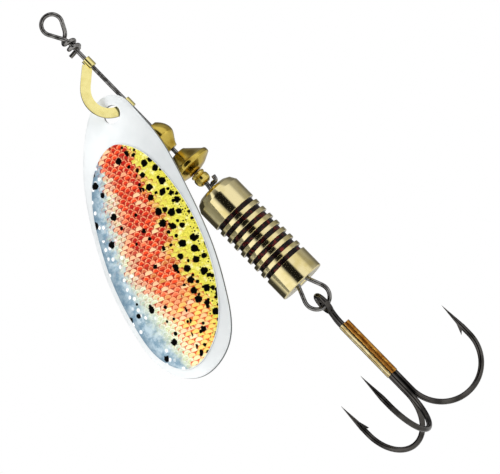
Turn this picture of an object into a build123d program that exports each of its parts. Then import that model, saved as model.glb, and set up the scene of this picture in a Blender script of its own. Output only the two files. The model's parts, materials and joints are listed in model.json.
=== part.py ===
from build123d import *
import os
from math import acos, asin, cos, pi, radians, sin, tan

# Inline spinner with a long blade, in millimetres.
# The shaft runs along Z. The origin is the centre of the line eye, the hook hangs towards -Z,
# the blade lies on the -X side, and -Y is the side that the blade's outer face looks towards.

# --- driving dimensions -------------------------------------------------------------------------
WIRE_R = 0.34             # radius of the stainless shaft wire
RUNNING_GAP = 0.08        # radial gap of the beads and barrels on the wire

EYE_R = 1.63              # line eye, centre line of the wire
EYE_NECK_Z = -3.4         # where the eye's legs would meet on the axis
WRAP_R = 0.78             # wrapped turns under the eye, centre line
WRAP_PITCH = 1.05
WRAP_START_Z = -3.7
WRAP_START_DEG = 215
WRAP_END_DEG = 810
WRAP_TAG = 1.45           # straight end of the wrap

CLEVIS_TURN = 20.0        # turn of the clevis plane about the shaft, degrees
CLEVIS_T = 0.32
CLEVIS_W = 1.6
CLEVIS_TOP_Z = -8.3
CLEVIS_BOTTOM_Z = -17.1
BARREL_R = WIRE_R + RUNNING_GAP

BEAD_TOP_Z = -22.05
BELL_TOP_Z = -27.9
NECK_TOP_Z = -32.15
BEAD_BORE_R = WIRE_R + RUNNING_GAP

BODY_TOP_Z = -35.55
BODY_BOTTOM_Z = -55.54
BODY_R = 3.85
BODY_BORE_R = 0.95
BODY_FLARE_R = 1.5        # bottom of the bore, where the loop's legs spread
BODY_FLARE_H = 2.2
SHOULDER_TOP_R = 1.9       # flat face round the wire
SHOULDER_DROP = 1.5
SHOULDER_CORNERS = ((3.3, -0.55), (2.5, -0.1))   # radius and height of the cones' two upper edges
EDGE_CHAMFER = 0.12
GROOVE_COUNT = 8
GROOVE_W = 0.77
GROOVE_DEPTH = 0.46
GROOVE_PITCH = 1.48
GROOVE_TOP_Z = -40.62

LEG_X = 0.42              # half the spacing of the doubled wire inside the body
LOOP_R = 1.97             # hook loop, centre line of the wire
LOOP_Z = -58.6
LOOP_APEX_Z = -53.2       # where the loop's straight legs would meet

BLADE_T = 0.45
BLADE_ROUND_ACROSS = 24.0
BLADE_ROUND_ALONG = 160.0
DOME_ARC = 40.0           # sheet made before the outline is cut, degrees
BLADE_HOLE_R = 1.45
PANEL_RISE = 0.16
PANEL_MIDDLE = -22.9
PRINT_T = 0.05
PRINT_INSET = 0.12

HOOK_R = 0.45             # radius of the hook wire
SHANK_RHO = 0.54          # shank wires' distance from the treble's axis
BEND_R = 6.3
BEND_Z = -78.77
POINT_BASE_Z = -77.3
POINT_TIP_Z = -72.7
HOOK_EYE_Z = -60.1
HOOK_EYE_R = 1.55
SHANK_TOP_Z = -64.0
SINGLE_DEG = 14
DOUBLE_DEG = (134, 254)
SIDES = (SINGLE_DEG,) + DOUBLE_DEG
BRAZE_TOP_Z = -64.46
BRAZE_BOTTOM_Z = -75.08
BRAZE_T = 0.09

# the blade's frame: hole centre, and unit vectors along and across the blade
HOLE_X = -3.0
HOLE_Z = -16.6
BLADE_LEAN = 25.0         # blade's long axis against the shaft, degrees
BLADE_PITCH = 12.0        # towards -Y, at the hole
BLADE_ROLL = 22.0         # +X side towards -Y


def blade_plane():
    """Plane at the hole: X across the blade, Y towards the blade's top, Z outwards."""
    lean, pitch, roll = (radians(a) for a in (BLADE_LEAN, BLADE_PITCH, BLADE_ROLL))
    hole = Vector(HOLE_X, HOLE_X * tan(radians(CLEVIS_TURN)), HOLE_Z)
    across = Vector(cos(lean), 0, -sin(lean)) * cos(roll) + Vector(0, -1, 0) * sin(roll)
    flat_down = Vector(-sin(lean), 0, -cos(lean))
    outward = across.cross(-flat_down)
    down = flat_down * cos(pitch) + outward * sin(pitch)
    return Plane(origin=hole, x_dir=across, z_dir=across.cross(-down))


def tube(path, radius):
    """Round wire along a path."""
    return sweep(Plane(origin=path @ 0, z_dir=path % 0) * Circle(radius), path=path)


def shaft_wire():
    """One wire: wrap, line eye, straight shaft, doubled stretch, hook loop and bent tail."""
    neck = acos(EYE_R / -EYE_NECK_Z)
    eye_side = EYE_R * sin(neck)
    eye_low = -EYE_R * cos(neck)
    right = Vector(eye_side, 0, eye_low)
    left = Vector(-eye_side, 0, eye_low)
    spread = asin(LOOP_R / (LOOP_APEX_Z - LOOP_Z))
    loop_side = LOOP_R * cos(spread)
    loop_top = LOOP_Z + LOOP_R * sin(spread)
    bend_z = LOOP_APEX_Z - LEG_X / tan(spread)

    eye = ThreePointArc(right, (0, 0, EYE_R), left)
    shaft = FilletPolyline(
        left, (0, 0, EYE_NECK_Z), (0, 0, -34.6), (-LEG_X, 0, -36.8), (-LEG_X, 0, bend_z),
        (-loop_side, 0, loop_top),
        radius=[2.5, 3, 3, 3],
    )
    loop = ThreePointArc((-loop_side, 0, loop_top), (0, 0, LOOP_Z - LOOP_R), (loop_side, 0, loop_top))
    tail = FilletPolyline(
        (loop_side, 0, loop_top), (LEG_X, 0, bend_z), (LEG_X, 0, -34.83), (1.42, 0, -35.08),
        (1.6, 0, -34.15),
        radius=[3, 0.38, 0.38],
    )
    wire = tube(Wire([eye] + list(shaft.edges()) + [loop] + list(tail.edges())), WIRE_R)
    return wire + tube(wrap_path(right), WIRE_R)


def wrap_path(start):
    """The eye's second leg: behind the shaft, round it in open turns, and out as a short tag."""
    turns = []
    steps = 20
    for i in range(steps + 1):
        angle = WRAP_START_DEG + (WRAP_END_DEG - WRAP_START_DEG) * i / steps
        drop = WRAP_PITCH * (angle - WRAP_START_DEG) / 360
        a = radians(angle)
        turns.append((WRAP_R * cos(a), WRAP_R * sin(a), WRAP_START_Z - drop))
    last = Vector(*turns[-1])
    leg = Vector(0, 0, EYE_NECK_Z) - start
    end = last - Vector(WRAP_TAG, 0, 0.1)
    behind = [(0.25, 0.7, -2.55), (-0.5, 0.62, -3.05)]
    curve = Spline([start] + behind + turns, tangents=[leg.normalized(), (-1, 0, -0.1)])
    return Wire([curve, Line(curve @ 1, end)])


def barrel(z):
    """Rolled end of the clevis strip, with its seam on the outer side."""
    outer = BARREL_R + CLEVIS_T
    seam = Rot(0, 0, 218) * Pos(outer, 0) * Rectangle(2 * outer, 0.2)
    ring = Circle(outer) - Circle(BARREL_R) - seam
    return Pos(0, 0, z - CLEVIS_W / 2) * extrude(ring, CLEVIS_W)


def clevis():
    """Flat stamped C strip between its two barrels."""
    line = Spline(
        [(-0.5, -8.45), (-2.1, -9.8), (-3.6, -11.2), (-4.4, -12.7), (-4.45, -14.4), (-3.6, -16.0),
         (-2.3, -16.85), (-0.5, CLEVIS_BOTTOM_Z)],
        tangents=[(-0.8, -0.6), (1, 0)],
    )
    strip = Plane.XZ * trace(line, line_width=CLEVIS_W)
    plate = extrude(strip, CLEVIS_T / 2, both=True)
    clear = Cylinder(BARREL_R, 30, align=(Align.CENTER, Align.CENTER, Align.CENTER))
    whole = plate + barrel(CLEVIS_TOP_Z) + barrel(CLEVIS_BOTTOM_Z)
    return Rot(0, 0, CLEVIS_TURN) * (whole - Pos(0, 0, -12) * clear)


def closed_outline(points):
    """Smooth closed face through points."""
    return make_face(Wire([Spline(points, periodic=True)]))


def blade_outline():
    """Outline of the blade: rounded top, down the side next to the shaft, tip, and back up."""
    return closed_outline([
        (0, 3.1), (2.2, 2.2), (3.9, -0.5), (6.0, -5.0), (8.2, -14.0), (9.4, -24.0), (9.1, -32.0),
        (6.9, -39.3), (1.4, -42.5), (-3.8, -40.1), (-7.4, -33.2), (-9.2, -25.0), (-9.4, -16.0),
        (-8.3, -8.0), (-5.8, -1.6), (-2.8, 2.3),
    ])


def panel_outline(inset=0.0):
    """Outline of the raised panel, drawn in by an inset."""
    across = 1 - inset / 8
    along = 1 - inset / 18
    points = [
        (0, -4.9), (3.1, -7.0), (5.9, -11.5), (7.9, -17.5), (8.75, -24.5), (8.2, -31.3),
        (5.2, -38.2), (0.2, -41.0), (-4.2, -38.2), (-6.8, -32.3), (-8.3, -25.4), (-8.6, -18.5),
        (-7.7, -11.5), (-4.6, -6.3),
    ]
    return closed_outline([(x * across, PANEL_MIDDLE + (y - PANEL_MIDDLE) * along) for x, y in points])


def dome(low, high):
    """Doubly curved sheet between two offsets from the blade's outer face."""
    reach = 11.0
    arcs = []
    for offset in (low, high):
        r = BLADE_ROUND_ACROSS + offset
        edge = r * cos(asin(reach / r)) - BLADE_ROUND_ACROSS
        arcs.append(ThreePointArc((-reach, edge), (0, offset), (reach, edge)))
    lower, upper = arcs
    sides = [Line(lower @ 0, upper @ 0), Line(lower @ 1, upper @ 1)]
    section = Plane.XZ * make_face(Wire([lower, upper] + sides))
    axis = Axis((0, 0, -BLADE_ROUND_ALONG), (1, 0, 0))
    return revolve(section.rotate(axis, -DOME_ARC / 2), axis, DOME_ARC)


def cut_out(outline, low, high):
    """Part of the dome inside an outline."""
    prism = extrude(outline, 12, both=True)
    return dome(low, high) & prism


def blade_parts():
    """Blade with its raised panel, and the printed film on the panel."""
    hole = Cylinder(BLADE_HOLE_R, 10)
    plate = cut_out(blade_outline(), -BLADE_T, 0)
    panel = cut_out(panel_outline(), -BLADE_T / 2, PANEL_RISE)
    film = cut_out(panel_outline(PRINT_INSET), PANEL_RISE, PANEL_RISE + PRINT_T)
    place = blade_plane().location
    return place * (plate + panel - hole), place * film


def turned(edges, top_z):
    """Turned piece: closed edges of (radius, height) under a top face, about the shaft."""
    return Pos(0, 0, top_z) * revolve(Plane.XZ * make_face(Wire(edges)), Axis.Z, 360)


def bored(points, top_z):
    """Turned piece whose outer side is a list of corners and whose bore runs on the wire."""
    corners = [(BEAD_BORE_R, points[0][1])] + points + [(BEAD_BORE_R, points[-1][1])]
    return turned(list(Polyline(*corners, close=True).edges()), top_z)


def upper_bead():
    """Rounded bead, fullest just above its middle."""
    side = Spline([(0.95, 0), (1.66, -0.82), (2.03, -1.63), (2.08, -2.5), (1.57, -3.5), (0.9, -4.75)])
    ends = [Line(side @ 0, (BEAD_BORE_R, 0)), Line((BEAD_BORE_R, 0), (BEAD_BORE_R, -4.75)),
            Line((BEAD_BORE_R, -4.75), side @ 1)]
    return turned([side] + ends, BEAD_TOP_Z)


def bell_bead():
    """Cone that widens towards the hook, with a short straight band and a shallow underside."""
    corners = [(1.25, 0), (1.42, -0.2), (3.37, -2.05), (3.68, -2.2), (3.78, -2.42), (3.78, -2.85),
               (3.68, -3.02), (2.2, -3.78), (0.9, -4.12)]
    return bored(corners, BELL_TOP_Z)


def neck_bead():
    """Small bead with a groove near its top and a rounded lower end."""
    corners = [(1.0, 0), (1.15, -0.12), (1.15, -0.42), (0.98, -0.56), (1.15, -0.72), (1.24, -0.9),
               (1.24, -1.4), (1.1, -1.8), (0.8, -2.1)]
    return bored(corners, NECK_TOP_Z)


def body():
    """Ribbed weight with a two-step coned shoulder and a bore for the doubled wire."""
    height = BODY_TOP_Z - BODY_BOTTOM_Z
    steep, flat = SHOULDER_CORNERS
    blank = turned(Polyline(
        (BODY_BORE_R, 0), (SHOULDER_TOP_R, 0), flat, steep, (BODY_R, -SHOULDER_DROP),
        (BODY_R, EDGE_CHAMFER - height), (BODY_R - EDGE_CHAMFER, -height),
        (BODY_FLARE_R, -height), (BODY_BORE_R, BODY_FLARE_H - height), (BODY_BORE_R, 0),
    ).edges(), BODY_TOP_Z)
    for i in range(GROOVE_COUNT):
        z = GROOVE_TOP_Z - GROOVE_W / 2 - i * GROOVE_PITCH
        ring = Circle(BODY_R + 1) - Circle(BODY_R - GROOVE_DEPTH)
        blank -= Pos(0, 0, z) * extrude(ring, GROOVE_W / 2, both=True)
    return blank


def polar(rho, z, degrees_):
    """Point at a distance from the treble's axis, on one hook's side."""
    a = radians(degrees_)
    return Vector(rho * cos(a), rho * sin(a), z)


def hook(top_z, side):
    """One hook in its own plane: shank, round bend, tapered point and barb."""
    far = SHANK_RHO + 2 * BEND_R
    shank = Line(polar(SHANK_RHO, top_z, side), polar(SHANK_RHO, BEND_Z, side))
    bottom = polar(SHANK_RHO + BEND_R, BEND_Z - BEND_R, side)
    bend = ThreePointArc(shank @ 1, bottom, polar(far, BEND_Z, side))
    rise = Line(bend @ 1, polar(far, POINT_BASE_Z, side))
    wire = tube(Wire([shank, bend, rise]), HOOK_R)
    length = POINT_TIP_Z - POINT_BASE_Z
    cone = Cone(HOOK_R, 0.02, length, align=(Align.CENTER, Align.CENTER, Align.MIN))
    blade_of_barb = Polyline(
        (0, 0.4 * length), (0, -0.1), (-0.45, -0.25), (-1.0, -0.75), close=True
    )
    barb = extrude(Plane.XZ * make_face(blade_of_barb), 0.16, both=True)
    point = Pos(far, 0, POINT_BASE_Z) * (cone + barb)
    return wire + Rot(0, 0, side) * point


def double_hook():
    """Two hooks and the eye, bent from one wire."""
    first, second = DOUBLE_DEG
    along = (polar(1, 0, first) - polar(1, 0, second)).normalized()
    opening = radians(25)
    gap = along * (HOOK_EYE_R * sin(opening))
    low_z = HOOK_EYE_Z - HOOK_EYE_R * cos(opening)
    low_a = gap + Vector(0, 0, low_z)
    low_b = -gap + Vector(0, 0, low_z)
    whole = tube(ThreePointArc(low_a, (0, 0, HOOK_EYE_Z + HOOK_EYE_R), low_b), HOOK_R)
    down = Vector(0, 0, -1)
    for side, low, sign in ((first, low_a, -1), (second, low_b, 1)):
        tangent = along * (sign * cos(opening)) + down * sin(opening)
        leg = Spline([low, polar(SHANK_RHO, SHANK_TOP_Z, side)], tangents=[tangent, down])
        whole = whole + tube(leg, HOOK_R) + hook(SHANK_TOP_Z, side)
    return whole


def braze():
    """Braze that coats and joins the three shanks."""
    coats = Sketch() + [Pos(polar(SHANK_RHO, 0, a)) * Circle(HOOK_R + BRAZE_T) for a in SIDES]
    core = RegularPolygon(SHANK_RHO, 3, rotation=SINGLE_DEG)
    wires = Sketch() + [Pos(polar(SHANK_RHO, 0, a)) * Circle(HOOK_R) for a in SIDES]
    section = coats + core - wires
    return Pos(0, 0, BRAZE_BOTTOM_Z) * extrude(section, BRAZE_TOP_Z - BRAZE_BOTTOM_Z)


blade, blade_print = blade_parts()
pieces = {
    "shaft_wire": shaft_wire(),
    "clevis": clevis(),
    "blade": blade,
    "blade_print": blade_print,
    "upper_bead": upper_bead(),
    "bell_bead": bell_bead(),
    "neck_bead": neck_bead(),
    "body": body(),
    "double_hook": double_hook(),
    "single_hook": hook(BRAZE_TOP_Z, SINGLE_DEG),
    "braze": braze(),
}
os.makedirs("parts", exist_ok=True)
for name, piece in pieces.items():
    export_step(piece, f"parts/{name}.step")
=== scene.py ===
"""Looks of the inline spinner: materials, fine meshes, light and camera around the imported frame."""

import json
import math

import bmesh
import bpy
from mathutils import Matrix, Vector

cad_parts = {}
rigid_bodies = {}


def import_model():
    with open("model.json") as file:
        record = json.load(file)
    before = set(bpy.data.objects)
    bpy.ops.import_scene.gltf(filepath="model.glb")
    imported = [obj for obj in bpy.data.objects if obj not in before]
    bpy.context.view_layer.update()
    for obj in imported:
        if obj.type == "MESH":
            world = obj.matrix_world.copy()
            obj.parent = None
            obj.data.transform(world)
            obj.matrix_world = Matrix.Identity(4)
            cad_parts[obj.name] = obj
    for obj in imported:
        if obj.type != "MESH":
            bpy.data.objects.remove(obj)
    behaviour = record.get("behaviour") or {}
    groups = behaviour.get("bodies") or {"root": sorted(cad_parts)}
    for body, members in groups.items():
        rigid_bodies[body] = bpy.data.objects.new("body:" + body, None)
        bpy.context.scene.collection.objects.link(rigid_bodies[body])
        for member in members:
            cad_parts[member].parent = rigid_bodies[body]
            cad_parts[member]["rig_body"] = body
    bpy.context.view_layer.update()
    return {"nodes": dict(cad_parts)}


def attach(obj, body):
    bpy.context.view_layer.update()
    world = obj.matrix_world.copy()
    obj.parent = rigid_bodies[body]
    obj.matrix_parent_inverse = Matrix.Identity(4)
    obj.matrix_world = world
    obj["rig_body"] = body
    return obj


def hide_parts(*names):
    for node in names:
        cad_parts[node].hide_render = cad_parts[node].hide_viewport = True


MM = 0.001
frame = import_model()

# The blade: its hole and its dome's radii, in millimetres, and how it is turned about the hole.
CLEVIS_TURN_DEG = 20.0
HOLE_X = -3.0
HOLE_Z = -16.6
HOLE_MM = Vector((HOLE_X, HOLE_X * math.tan(math.radians(CLEVIS_TURN_DEG)), HOLE_Z))
BLADE_LEAN_DEG = 25.0
BLADE_PITCH_DEG = 12.0
BLADE_ROLL_DEG = 22.0
BLADE_T = 0.45
ROUND_ACROSS = 24.0
ROUND_ALONG = 160.0

# The printed panel, in millimetres. Its middle lies under the blade's hole, and drifts sideways by its
# slant. The print's red band widens, leans and fades between two heights from the hole.
PANEL_RISE = 0.16
PANEL_SLANT = 0.055
PANEL_MIDDLE = 22.9
PANEL_HALF_LENGTH = 18.1
PANEL_HALF_WIDTH = 8.5
SCALE_PITCH = 1.25
BAND_WIDENS = (-9.5, -5.0)
BAND_LEANS = (-22.0, -38.0)
BAND_FADES = (-20.0, -33.0)

# The weight, in millimetres: its grooves' heights are measured from its top face.
BODY_TOP_Z = -35.55
BODY_LENGTH = 19.99
BODY_R = 3.85
BODY_BORE_R = 0.95
BODY_FLARE_R = 1.5
BODY_FLARE_H = 2.2
SHOULDER = ((1.9, 0), (2.5, -0.1), (3.3, -0.55), (BODY_R, -1.5))
EDGE_CHAMFER = 0.12
GROOVES = 8
GROOVE_TOP = -5.07
GROOVE_PITCH = 1.48
GROOVE_W = 0.77
GROOVE_DEPTH = 0.46

# The two turned beads: radius and height under the top face, in millimetres.
BELL_TOP_Z = -27.9
BELL_PROFILE = (
    (0.42, 0), (1.25, 0), (1.42, -0.2), (3.37, -2.05), (3.68, -2.2), (3.78, -2.42), (3.78, -2.85),
    (3.68, -3.02), (2.2, -3.78), (0.9, -4.12), (0.42, -4.12),
)
NECK_TOP_Z = -32.15
NECK_PROFILE = (
    (0.42, 0), (1.0, 0), (1.15, -0.12), (1.15, -0.42), (0.98, -0.56), (1.15, -0.72), (1.24, -0.9),
    (1.24, -1.4), (1.1, -1.8), (0.8, -2.1), (0.42, -2.1),
)

# Fineness of the turned pieces and the largest share of a side that an eased corner takes up. Then how
# the stamped pieces' meshes are cleaned and rounded.
TURNED_SIDES = 144
CURVE_STEPS = 4
EASED_SHARE = 0.4
STAMPED_EDGE_MM = {"blade": 0.15, "clevis": 0.06}
EDGE_SEGMENTS = 3
WELD = 1e-7
FLAT_DEG = 0.3
EDGE_DEG = 25
CREASE_DEG = 40

# Camera: it looks a little upwards, rolled so that the wire runs from corner to corner.
AIM = Vector((-0.95, 0, -44.9)) * MM
CAMERA_DISTANCE = 0.7
FRAME_WIDTH = 76.5 * MM
SENSOR_MM = 36.0
CLIP_START = 0.01
LOOK_UP_DEG = 5.5
ROLL_RIGHT = (0.716, -0.698)

# Brightness round the object by bearing in degrees: 0 is towards the camera, + is towards +X.
SOFT_BOXES = (
    (-180, 0.3), (-150, 0.04), (-114, 0.06), (-98, 0.6), (-84, 1.12), (-32, 1.1), (-23, 0.7),
    (-16, 0.03), (-8, 0.01), (13, 0.01), (18, 0.03), (24, 0.94), (60, 0.96), (72, 0.88), (84, 0.46),
    (110, 0.42), (140, 0.16), (180, 0.3),
)
OVERHEAD = (0.8, 0.8, 0.8, 1.0)
OVERHEAD_EDGE = 0.88
BACKDROP = (1.0, 1.0, 1.0, 1.0)

# Lights: place in metres and power in watts.
LIGHTS = {"key_left": ((-0.5, -0.45, 0.3), 3.0), "fill_right": ((0.5, -0.4, 0.1), 2.2)}
LIGHT_SIZE = 0.5

# Floor, in metres: it lies below the object and out of the main view.
FLOOR_Z = -0.13
FLOOR_RADIUS = 1.5
FLOOR_SIDES = 96


def blade_directions():
    """Unit vectors across the blade, along it towards its top, and out of its printed face."""
    lean, pitch, roll = (math.radians(a) for a in (BLADE_LEAN_DEG, BLADE_PITCH_DEG, BLADE_ROLL_DEG))
    flat_across = Vector((math.cos(lean), 0, -math.sin(lean)))
    flat_along = Vector((math.sin(lean), 0, math.cos(lean)))
    across = flat_across * math.cos(roll) + Vector((0, -1, 0)) * math.sin(roll)
    along = flat_along * math.cos(pitch) - across.cross(flat_along) * math.sin(pitch)
    return across, along, across.cross(along)


ACROSS, ALONG, OUT = blade_directions()


def rgb(hex_colour):
    """Linear colour, with alpha, of an sRGB hex string."""
    parts = [int(hex_colour[i : i + 2], 16) / 255 for i in (0, 2, 4)]
    return tuple(c / 12.92 if c <= 0.04045 else ((c + 0.055) / 1.055) ** 2.4 for c in parts) + (1.0,)


class Net:
    """Short calls that add nodes to a material's or world's tree."""

    def __init__(self, tree):
        self.tree = tree
        tree.nodes.clear()

    def add(self, kind, **props):
        node = self.tree.nodes.new(kind)
        for key, value in props.items():
            setattr(node, key, value)
        return node

    def feed(self, socket, value):
        if isinstance(value, bpy.types.NodeSocket):
            self.tree.links.new(value, socket)
        else:
            socket.default_value = value

    def math(self, operation, a, b=0.0, c=0.0):
        node = self.add("ShaderNodeMath", operation=operation)
        for socket, value in zip(node.inputs, (a, b, c)):
            self.feed(socket, value)
        return node.outputs[0]

    def plus(self, a, b):
        return self.math("ADD", a, b)

    def minus(self, a, b):
        return self.math("SUBTRACT", a, b)

    def times(self, a, b):
        return self.math("MULTIPLY", a, b)

    def over(self, a, b):
        return self.math("DIVIDE", a, b)

    def span(self, share, start, change):
        """start where share is 0, start + change where it is 1."""
        return self.math("MULTIPLY_ADD", share, change, start)

    def vector(self, operation, a, b=(0.0, 0.0, 0.0)):
        node = self.add("ShaderNodeVectorMath", operation=operation)
        self.feed(node.inputs[0], a)
        self.feed(node.inputs[1], b)
        return node.outputs["Value"] if operation in ("DOT_PRODUCT", "LENGTH") else node.outputs[0]

    def combine(self, x, y, z=0.0):
        node = self.add("ShaderNodeCombineXYZ")
        for socket, value in zip(node.inputs, (x, y, z)):
            self.feed(socket, value)
        return node.outputs[0]

    def split(self, vector):
        node = self.add("ShaderNodeSeparateXYZ")
        self.feed(node.inputs[0], vector)
        return node.outputs

    def step(self, value, low, high):
        """0 below low, 1 above high, smooth between. It falls instead where low is above high."""
        node = self.add("ShaderNodeMapRange", interpolation_type="SMOOTHSTEP", clamp=True)
        self.feed(node.inputs["Value"], value)
        self.feed(node.inputs["From Min"], low)
        self.feed(node.inputs["From Max"], high)
        return node.outputs[0]

    def mix(self, share, a, b):
        node = self.add("ShaderNodeMix", data_type="RGBA", clamp_factor=True)
        self.feed(node.inputs["Factor"], share)
        self.feed(node.inputs[6], a)
        self.feed(node.inputs[7], b)
        return node.outputs[2]

    def patches(self, noise, low, high, first, second):
        """The first hex colour where the noise is below low, the second where it is above high."""
        return self.mix(self.step(noise, low, high), rgb(first), rgb(second))

    def wobble(self, value, noise, width):
        """value, moved up and down by the noise within width."""
        return self.plus(value, self.span(noise, -width / 2, width))

    def noise(self, vector, scale, detail=2.0, rough=0.5):
        node = self.add("ShaderNodeTexNoise")
        self.feed(node.inputs["Vector"], vector)
        node.inputs["Scale"].default_value = scale
        node.inputs["Detail"].default_value = detail
        node.inputs["Roughness"].default_value = rough
        return node.outputs[0]

    def cells(self, vector, scale, jitter=1.0):
        """Distance to the nearest cell point in a plane, and that cell's random colour."""
        node = self.add("ShaderNodeTexVoronoi", voronoi_dimensions="2D")
        self.feed(node.inputs["Vector"], vector)
        node.inputs["Scale"].default_value = scale
        node.inputs["Randomness"].default_value = jitter
        return node.outputs["Distance"], node.outputs["Color"]

    def grey_ramp(self, share, stops):
        """Grey that runs through (place, value) stops."""
        node = self.add("ShaderNodeValToRGB")
        elements = node.color_ramp.elements
        while len(elements) < len(stops):
            elements.new(0.5)
        for element, (place, value) in zip(elements, stops):
            element.position = place
            element.color = (value, value, value, 1.0)
        self.feed(node.inputs[0], share)
        return node.outputs[0]

    def bump(self, height, depth_mm):
        node = self.add("ShaderNodeBump")
        node.inputs["Strength"].default_value = 1.0
        node.inputs["Distance"].default_value = depth_mm * MM
        self.feed(node.inputs["Height"], height)
        return node.outputs[0]

    def place(self):
        """Rest position on the object, in millimetres."""
        node = self.add("ShaderNodeTexCoord")
        return self.vector("MULTIPLY", node.outputs["Object"], (1 / MM,) * 3)

    def surface(self, **inputs):
        shader = self.add("ShaderNodeBsdfPrincipled")
        for name, value in inputs.items():
            self.feed(shader.inputs[name.replace("_", " ")], value)
        out = self.add("ShaderNodeOutputMaterial")
        self.tree.links.new(shader.outputs[0], out.inputs[0])


def material(name, build):
    made = bpy.data.materials.new(name)
    made.use_nodes = True
    build(Net(made.node_tree))
    return made


# --- metals --------------------------------------------------------------------------------------


def lathe_rings(net, p):
    """Fine rings round the axis, as bump."""
    z = net.split(p)[2]
    return net.bump(net.noise(net.combine(0.0, 0.0, z), 5.0, 4.0, 0.7), 0.004)


def turned_brass(base, dark):
    """Machined brass: faint rings round the axis, a soft tarnish and a slightly uneven gloss."""

    def build(net):
        p = net.place()
        net.surface(
            Base_Color=net.patches(net.noise(p, 0.6, 3.0), 0.42, 0.75, base, dark),
            Metallic=1.0,
            Roughness=net.span(net.noise(p, 9.0), 0.1, 0.12),
            Normal=lathe_rings(net, p),
        )

    return build


def inside_grooves(net, p):
    """1 at the bottom of the weight's grooves, 0 on its ribs and collars."""
    x, y, z = net.split(p)
    radius = net.vector("LENGTH", net.combine(x, y, 0.0))
    first = BODY_TOP_Z + GROOVE_TOP
    last = first - (GROOVES - 1) * GROOVE_PITCH - GROOVE_W
    below_shoulder = net.step(z, first + 0.32, first - 0.08)
    above_foot = net.step(z, last - 0.85, last - 0.45)
    under_skin = net.step(radius, BODY_R - 0.05, BODY_R - 0.3)
    return net.times(under_skin, net.times(below_shoulder, above_foot))


def body_brass(net):
    """Turned brass whose grooves are painted dark red inside: painted shade of the deep, narrow grooves.
    """
    p = net.place()
    deep = inside_grooves(net, p)
    brass = net.patches(net.noise(p, 0.5, 3.0), 0.42, 0.75, "f3e4ae", "e2d08c")
    # Painted shade: the grooves' floors are coloured dark red for the shade inside the deep, narrow
    # grooves.
    painted_groove_shade = net.patches(net.noise(p, 1.2, 3.0), 0.5, 0.7, "150a0a", "6a1814")
    net.surface(
        Base_Color=net.mix(deep, brass, painted_groove_shade),
        Metallic=net.span(deep, 1.0, -0.35),
        Roughness=net.plus(net.span(net.noise(p, 9.0), 0.06, 0.08), net.times(deep, 0.12)),
        Normal=lathe_rings(net, p),
    )


def steel_wire(net):
    """Drawn wire with a slight mottle and polishing marks."""
    p = net.place()
    marks = net.noise(p, 6.0, 3.0)
    net.surface(
        Base_Color=net.patches(net.noise(p, 1.5, 3.0), 0.35, 0.7, "949290", "4e4c4a"),
        Metallic=1.0,
        Roughness=net.span(marks, 0.05, 0.09),
        Normal=net.bump(marks, 0.004),
    )


def stamped_brass(net):
    """Bright brass strip whose cut sides carry painted shade, darker than its faces."""
    p = net.place()
    x, y, _ = net.split(p)
    marks = net.noise(p, 5.0, 3.0)
    turn = math.radians(CLEVIS_TURN_DEG)
    sideways = (-math.sin(turn), math.cos(turn), 0.0)
    from_middle = net.math("ABSOLUTE", net.vector("DOT_PRODUCT", p, sideways))
    strip = net.step(net.vector("LENGTH", net.combine(x, y, 0.0)), 0.9, 1.1)
    # Painted shade: the strip's cut sides are coloured dark brass.
    shaded_cut_side = net.times(net.step(from_middle, 0.15, 0.1), strip)
    face = net.patches(net.noise(p, 0.8), 0.4, 0.7, "fbeea2", "f1e292")
    net.surface(
        Base_Color=net.mix(shaded_cut_side, face, rgb("6b5a1e")),
        Metallic=1.0,
        Roughness=net.span(marks, 0.14, 0.08),
        Normal=net.bump(marks, 0.002),
    )


def black_nickel(net):
    """Glossy black plating of the hooks."""
    p = net.place()
    marks = net.noise(p, 7.0, 3.0)
    net.surface(
        Base_Color=net.patches(net.noise(p, 0.35), 0.35, 0.7, "575451", "2b2928"),
        Metallic=1.0,
        Roughness=net.span(marks, 0.05, 0.1),
        Normal=net.bump(marks, 0.002),
    )


def braze_copper(net):
    """Braze: copper on one side of the shank, pale gold on the other, and a painted shadow of the gap
    between them on the -Y side.
    """
    p = net.place()
    x, y, z = net.split(p)
    sideways = net.plus(x, net.span(net.noise(p, 1.5), -0.12, 0.3))
    # Painted shadow: a dark, ragged line down the gap between copper and gold, on the -Y side only.
    gap_shadow = net.times(net.step(net.math("ABSOLUTE", sideways), 0.11, 0.05), net.step(y, 0.1, -0.1))
    flow = net.noise(net.combine(x, y, net.times(z, 0.35)), 2.4, 4.0, 0.6)
    gold = net.patches(flow, 0.35, 0.65, "f0e2b4", "c8ab6c")
    copper = net.patches(flow, 0.35, 0.65, "d8a04a", "9a5c1c")
    braze = net.mix(net.step(sideways, -0.05, 0.05), gold, copper)
    net.surface(
        Base_Color=net.mix(gap_shadow, braze, rgb("140d08")),
        Metallic=1.0,
        Roughness=net.span(flow, 0.16, 0.2),
        Normal=net.bump(flow, 0.03),
    )


# --- blade ---------------------------------------------------------------------------------------


def blade_place(net):
    """Rest position, and how far it lies from the hole: across the blade, along it and out of it."""
    p = net.place()
    from_hole = net.vector("SUBTRACT", p, tuple(HOLE_MM))
    return p, *(net.vector("DOT_PRODUCT", from_hole, tuple(way)) for way in (ACROSS, ALONG, OUT))


def above_face(net, u, v, w):
    """Height above the blade's domed outer face, in millimetres."""
    arch = net.math("SQRT", net.minus(ROUND_ACROSS**2, net.times(u, u)))
    reach = net.plus(arch, ROUND_ALONG - ROUND_ACROSS)
    dome = net.minus(net.math("SQRT", net.minus(net.times(reach, reach), net.times(v, v))), ROUND_ALONG)
    return net.minus(w, dome)


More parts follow.
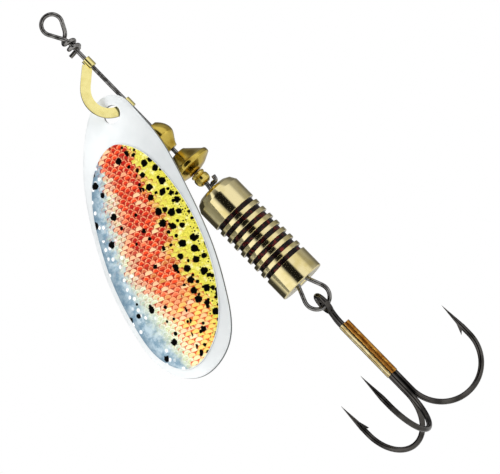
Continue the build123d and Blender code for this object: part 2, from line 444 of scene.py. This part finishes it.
def blade_silver(net):
    """Bright silver plate with a fine satin grain, with painted shade on its cut side and on the panel's
    step.
    """
    p, u, v, w = blade_place(net)
    grain = net.noise(net.combine(net.times(u, 3.0), net.times(v, 0.6)), 3.0, 4.0, 0.6)
    silver = net.patches(net.noise(p, 0.25), 0.35, 0.7, "edf0f1", "e5e9ea")
    height = above_face(net, u, v, w)
    above_back = net.step(height, 0.01 - BLADE_T, 0.07 - BLADE_T)
    # Painted shade: the blade's cut side and the panel's step are coloured dark grey.
    shaded_cut_side = net.times(net.step(height, -0.02, -0.08), above_back)
    below_panel_top = net.step(height, PANEL_RISE - 0.01, PANEL_RISE - 0.05)
    shaded_panel_step = net.times(net.step(height, 0.02, 0.06), below_panel_top)
    painted_shade = net.math("MAXIMUM", shaded_cut_side, net.times(shaded_panel_step, 0.8))
    net.surface(
        Base_Color=net.mix(painted_shade, silver, rgb("5c6164")),
        Metallic=0.4,
        Roughness=net.span(grain, 0.34, 0.12),
        Normal=net.bump(grain, 0.004),
    )


def panel_share(net, u, v, drift):
    """Where a point lies between the panel's sides, from -1 to 1: the panel narrows towards its ends."""
    from_middle = net.plus(v, PANEL_MIDDLE)
    end_share = net.over(from_middle, PANEL_HALF_LENGTH)
    bow = net.math("SQRT", net.math("MAXIMUM", net.minus(1.05, net.times(end_share, end_share)), 0.04))
    s = net.over(net.plus(u, net.times(from_middle, PANEL_SLANT)), net.times(bow, PANEL_HALF_WIDTH))
    return net.wobble(s, drift, 0.24)


def scale_rows(net, u, v):
    """Rows of overlapping round scales: distance from a scale's root, its centre and its random value."""
    row_height = SCALE_PITCH / 2
    row = net.math("FLOOR", net.over(v, row_height))
    half_step = net.times(net.math("ABSOLUTE", net.math("MODULO", row, 2.0)), 0.5)
    along_row = net.plus(net.over(u, SCALE_PITCH), half_step)
    place = net.math("FLOOR", along_row)
    column = net.minus(net.math("FRACT", along_row), 0.5)
    rise = net.math("FRACT", net.over(v, row_height))
    reach = net.vector("LENGTH", net.combine(column, net.times(rise, 0.5)))
    centre_u = net.times(net.minus(net.plus(place, 0.5), half_step), SCALE_PITCH)
    centre_v = net.times(net.plus(row, 0.5), row_height)
    draw = net.add("ShaderNodeTexWhiteNoise", noise_dimensions="2D")
    net.feed(draw.inputs["Vector"], net.combine(place, row))
    return reach, centre_u, centre_v, draw.outputs["Value"]


def red_band(net, scale_s, scale_v, own):
    """How red a scale is and how strong its outline is: the band is wide above and leans right below."""
    top = net.step(scale_v, *BAND_WIDENS)
    low = net.step(scale_v, *BAND_LEANS)
    left = net.plus(net.span(top, -0.46, -0.5), net.times(low, 0.5))
    right = net.plus(net.span(top, 0.42, 0.15), net.times(low, 0.42))
    placed = net.wobble(scale_s, own, 0.24)
    from_left = net.minus(placed, left)
    from_right = net.minus(placed, right)
    redness = net.times(net.step(from_left, -0.16, 0.2), net.step(from_right, 0.12, -0.16))
    netting = net.times(net.step(from_left, -0.3, 0.05), net.step(from_right, 0.26, -0.05))
    return redness, netting


def print_ground(net, uv, s, v_low, arc, fine, broad):
    """Ground of the print: silver-blue with painted glints and painted shade at its edge on the left,
    then pale green, yellow on the right.
    """
    blue = net.patches(broad, 0.35, 0.65, "b6cad5", "7594a8")
    blue = net.mix(net.step(fine, 0.55, 0.75), blue, rgb("dbe6ec"))
    # Painted shade: the blue darkens to slate towards the panel's left edge.
    blue = net.mix(net.times(net.step(s, -0.72, -1.0), 0.6), blue, rgb("4f6b80"))
    pale = net.patches(fine, 0.35, 0.65, "e9ecc4", "c3cb92")
    pale = net.mix(net.times(arc, 0.6), pale, rgb("fdfdf0"))
    yellow = net.patches(fine, 0.35, 0.7, "ece45c", "c4ba3c")
    yellow = net.mix(net.step(broad, 0.52, 0.7), yellow, rgb("faf6b4"))
    yellow = net.mix(net.times(arc, 0.4), yellow, rgb("b9b02c"))

    frayed = net.wobble(s, net.noise(uv, 1.3, 3.0), 0.5)
    warm = net.mix(v_low, net.step(frayed, -0.78, -0.42), net.step(frayed, -0.62, -0.08))
    ground = net.mix(warm, blue, pale)
    distance, draw = net.cells(uv, 1.2)
    glint = net.times(net.step(net.split(draw)[0], 0.8, 0.88), net.step(distance, 0.46, 0.22))
    ground = net.mix(glint, ground, net.mix(net.step(s, -0.3, -0.5), ground, rgb("ffffff")))
    return net.mix(net.step(s, 0.0, 0.45), ground, yellow)


def spots(net, uv, scale, low, high, chance):
    """Round, slightly ragged spots in a share of the cells."""
    distance, colour = net.cells(uv, scale, 0.85)
    draw = net.split(colour)
    size = net.span(draw[0], low, high - low)
    ragged = net.wobble(net.minus(distance, size), net.noise(uv, 2.4, 3.0), 0.3)
    inside = net.step(ragged, 0.02, -0.04)
    return net.times(inside, net.math("LESS_THAN", draw[1], chance))


def black_spots(net, uv, s):
    """Large and small spots, thickest on the right, and fine flecks along the right side."""
    right = net.step(s, 0.22, 0.46)
    shifted = net.vector("ADD", uv, (40.0, 9.0, 0.0))
    large = spots(net, uv, 0.52, 0.2, 0.34, net.span(right, 0.13, 0.74))
    small = spots(net, shifted, 0.95, 0.2, 0.32, net.span(right, 0.06, 0.22))
    fleck = spots(net, uv, 2.4, 0.16, 0.34, net.times(net.step(s, 0.72, 0.9), 0.5))
    return net.math("MAXIMUM", net.math("MAXIMUM", large, small), fleck)


def fish_scale_print(net):
    """Holographic print: silver-blue edge, red scales down the middle, yellow edge with black spots."""
    _, u, v, _ = blade_place(net)
    uv = net.combine(u, v)
    drift = net.noise(uv, 0.16, 1.0)
    fine = net.noise(uv, 5.0, 3.0, 0.7)
    broad = net.noise(uv, 0.8, 3.0, 0.6)
    s = panel_share(net, u, v, drift)

    reach, scale_u, scale_v, own = scale_rows(net, net.plus(u, net.minus(broad, 0.5)), v)
    arc = net.times(net.step(reach, 0.28, 0.38), net.step(reach, 0.5, 0.42))
    rim = net.step(reach, 0.42, 0.52)
    redness, netting = red_band(net, panel_share(net, scale_u, scale_v, drift), scale_v, own)
    fade = net.step(net.plus(scale_v, net.times(own, 9.0)), *BAND_FADES)

    red = net.patches(own, 0.1, 0.9, "b51204", "ee4515")
    red = net.mix(net.times(net.step(own, 0.8, 0.92), 0.75), red, rgb("fbdcae"))
    faded = net.patches(own, 0.3, 0.9, "f2d66c", "fbf1bf")
    ground = print_ground(net, uv, s, net.step(scale_v, *BAND_LEANS), arc, fine, broad)
    colour = net.mix(redness, ground, net.mix(fade, red, faded))
    lit = net.times(net.times(arc, netting), net.step(fine, 0.36, 0.6))
    colour = net.mix(net.times(lit, net.span(fade, 0.8, -0.55)), colour, rgb("ffc48e"))
    outline = net.times(net.times(rim, netting), net.step(fine, 0.3, 0.52))
    colour = net.mix(outline, colour, net.mix(fade, rgb("8e1002"), rgb("dc4414")))
    ink = black_spots(net, uv, s)

    net.surface(
        Base_Color=net.mix(ink, colour, rgb("030303")),
        Metallic=0.1,
        Roughness=net.span(fine, 0.34, 0.14),
        Specular_IOR_Level=net.span(ink, 0.22, -0.2),
        Normal=net.bump(net.plus(arc, net.times(own, 0.5)), 0.02),
    )


# --- fine meshes ---------------------------------------------------------------------------------


def link(name, mesh):
    piece = bpy.data.objects.new(name, mesh)
    bpy.context.scene.collection.objects.link(piece)
    return piece


def eased_corners(corners, ease):
    """The closed profile with each corner replaced by a short curve."""
    points = []
    for i, corner in enumerate(corners):
        following = corners[(i + 1) % len(corners)]
        here, before, after = (Vector(c) for c in (corner, corners[i - 1], following))
        reach = min(ease, EASED_SHARE * (before - here).length, EASED_SHARE * (after - here).length)
        start = here + (before - here).normalized() * reach
        end = here + (after - here).normalized() * reach
        for k in range(CURVE_STEPS + 1):
            t = k / CURVE_STEPS
            points.append(start * (1 - t) ** 2 + here * 2 * t * (1 - t) + end * t**2)
    return points


def turned(node, corners, top_z, ease):
    """Turned piece: a closed profile of radius and height under the top face, in millimetres."""
    profile = eased_corners(corners, ease)
    rows = len(profile)
    verts = []
    faces = []
    for k in range(TURNED_SIDES):
        angle = math.tau * k / TURNED_SIDES
        cos, sin = math.cos(angle), math.sin(angle)
        verts += [(r * cos * MM, r * sin * MM, (top_z + z) * MM) for r, z in profile]
        here, beyond = k * rows, (k + 1) % TURNED_SIDES * rows
        for i in range(rows):
            j = (i + 1) % rows
            faces.append((here + i, here + j, beyond + j, beyond + i))
    mesh = bpy.data.meshes.new(node + "_turned")
    mesh.from_pydata(verts, [], faces)
    work = bmesh.new()
    work.from_mesh(mesh)
    bmesh.ops.recalc_face_normals(work, faces=work.faces)
    work.to_mesh(mesh)
    work.free()
    mesh.shade_smooth()
    piece = link(node + "_turned", mesh)
    piece.modifiers.new("weighted", "WEIGHTED_NORMAL")
    return piece


def body_profile():
    """The weight: bore, coned shoulder, grooves, chamfered foot and flared end of the bore."""
    corners = [(BODY_BORE_R, 0), *SHOULDER]
    for i in range(GROOVES):
        top = GROOVE_TOP - i * GROOVE_PITCH
        low = top - GROOVE_W
        floor_r = BODY_R - GROOVE_DEPTH
        corners += [(BODY_R, top), (floor_r, top), (floor_r, low), (BODY_R, low)]
    corners += [(BODY_R, EDGE_CHAMFER - BODY_LENGTH), (BODY_R - EDGE_CHAMFER, -BODY_LENGTH)]
    return corners + [(BODY_FLARE_R, -BODY_LENGTH), (BODY_BORE_R, BODY_FLARE_H - BODY_LENGTH)]


def eased(node, width):
    """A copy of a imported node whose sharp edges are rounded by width, in millimetres."""
    source = frame["nodes"][node].data
    mesh = bpy.data.meshes.new(node + "_eased")
    mesh.from_pydata([v.co for v in source.vertices], [], [p.vertices for p in source.polygons])
    work = bmesh.new()
    work.from_mesh(mesh)
    bmesh.ops.remove_doubles(work, verts=work.verts, dist=WELD)
    bmesh.ops.dissolve_limit(work, angle_limit=math.radians(FLAT_DEG), verts=work.verts, edges=work.edges)
    sharp = [
        e for e in work.edges if len(e.link_faces) == 2 and e.calc_face_angle(0) > math.radians(EDGE_DEG)
    ]
    bmesh.ops.bevel(
        work, geom=sharp, offset=width * MM, offset_type="OFFSET", segments=EDGE_SEGMENTS, profile=0.5,
        affect="EDGES", clamp_overlap=True,
    )
    bmesh.ops.triangulate(work, faces=[f for f in work.faces if len(f.verts) > 4])
    work.to_mesh(mesh)
    work.free()
    mesh.shade_smooth()
    mesh.set_sharp_from_angle(angle=math.radians(CREASE_DEG))
    piece = link(node + "_eased", mesh)
    weighted = piece.modifiers.new("weighted", "WEIGHTED_NORMAL")
    weighted.keep_sharp = True
    return piece


# Turned pieces: profile, height of the top face and edge radius, in millimetres.
TURNED = {
    "body": (body_profile(), BODY_TOP_Z, 0.06),
    "bell_bead": (BELL_PROFILE, BELL_TOP_Z, 0.12),
    "neck_bead": (NECK_PROFILE, NECK_TOP_Z, 0.1),
}
LOOKS = {
    "shaft_wire": ("steel_wire", steel_wire),
    "clevis": ("clevis_brass", stamped_brass),
    "upper_bead": ("bead_brass_upper", turned_brass("d6bb58", "ad8e34")),
    "bell_bead": ("bead_brass_bell", turned_brass("d6bb58", "ad8e34")),
    "neck_bead": ("bead_brass_neck", turned_brass("dcc468", "b2953e")),
    "body": ("body_brass", body_brass),
    "blade": ("blade_silver", blade_silver),
    "blade_print": ("blade_print", fish_scale_print),
    "double_hook": ("hook_dark_double", black_nickel),
    "single_hook": ("hook_dark_single", black_nickel),
    "braze": ("braze_copper", braze_copper),
}


# --- light, camera and floor ---------------------------------------------------------------------


def studio_world():
    """Soft boxes left and right with a dark gap at the camera. The camera itself sees plain white."""
    world = bpy.data.worlds.new("studio")
    world.use_nodes = True
    bpy.context.scene.world = world
    net = Net(world.node_tree)
    x, y, z = net.split(net.add("ShaderNodeTexCoord").outputs["Generated"])
    bearing = net.math("ARCTAN2", x, net.times(y, -1.0))
    stops = [((degrees + 180) / 360, value) for degrees, value in SOFT_BOXES]
    around = net.grey_ramp(net.span(bearing, 0.5, 0.5 / math.pi), stops)
    studio = net.mix(net.step(z, OVERHEAD_EDGE, 1.0), around, OVERHEAD)
    camera_ray = net.add("ShaderNodeLightPath").outputs["Is Camera Ray"]
    background = net.add("ShaderNodeBackground")
    net.feed(background.inputs["Color"], net.mix(camera_ray, studio, BACKDROP))
    out = net.add("ShaderNodeOutputWorld")
    net.tree.links.new(background.outputs[0], out.inputs[0])


def soft_light(name, place, watts):
    """Square light aimed at the object, left out of reflections."""
    light = bpy.data.lights.new(name, "AREA")
    light.energy = watts
    light.size = LIGHT_SIZE
    light_object = bpy.data.objects.new(name, light)
    light_object.location = place
    light_object.visible_glossy = False
    light_object.rotation_euler = (AIM - Vector(place)).to_track_quat("-Z", "Y").to_euler()
    bpy.context.scene.collection.objects.link(light_object)


def camera():
    """The scene's camera: CAMERA_DISTANCE from the aim, with FRAME_WIDTH across the picture there."""
    tilt = math.radians(LOOK_UP_DEG)
    look = Vector((0, math.cos(tilt), math.sin(tilt)))
    side = Vector((1, 0, 0))
    rise = Vector((0, -math.sin(tilt), math.cos(tilt)))
    a, b = ROLL_RIGHT
    right = (side * a + rise * b).normalized()
    up = (side * -b + rise * a).normalized()
    data = bpy.data.cameras.new("camera")
    data.sensor_width = SENSOR_MM
    data.lens = SENSOR_MM * CAMERA_DISTANCE / FRAME_WIDTH
    data.clip_start = CLIP_START
    made = bpy.data.objects.new("camera", data)
    spin = Matrix((right, up, -look)).transposed().to_4x4()
    made.matrix_world = Matrix.Translation(AIM - look * CAMERA_DISTANCE) @ spin
    bpy.context.scene.collection.objects.link(made)
    bpy.context.scene.camera = made


def floor_paint(net):
    """Matt, nearly white paint with a very faint, broad change of tone."""
    tone = net.noise(net.place(), 0.004)
    net.surface(Base_Color=net.mix(tone, rgb("f4f4f2"), rgb("efefed")), Roughness=0.85)


def floor():
    """Plain pale disk under the object."""
    bpy.ops.mesh.primitive_circle_add(
        vertices=FLOOR_SIDES, radius=FLOOR_RADIUS, fill_type="NGON", location=(0, 0, FLOOR_Z)
    )
    disk = bpy.context.object
    disk.name = "floor"
    disk.data.materials.append(material("floor_paint", floor_paint))


for node, (name, build) in LOOKS.items():
    packed = frame["nodes"][node]
    packed.data.materials.clear()
    packed.data.materials.append(material(name, build))
    if node in TURNED or node in STAMPED_EDGE_MM:
        piece = turned(node, *TURNED[node]) if node in TURNED else eased(node, STAMPED_EDGE_MM[node])
        piece.data.materials.append(packed.data.materials[0])
        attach(piece, frame["nodes"][node]["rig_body"])
        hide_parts(node)

studio_world()
for name, (place, watts) in LIGHTS.items():
    soft_light(name, place, watts)
floor()
camera()
bpy.context.scene.view_settings.view_transform = "Standard"
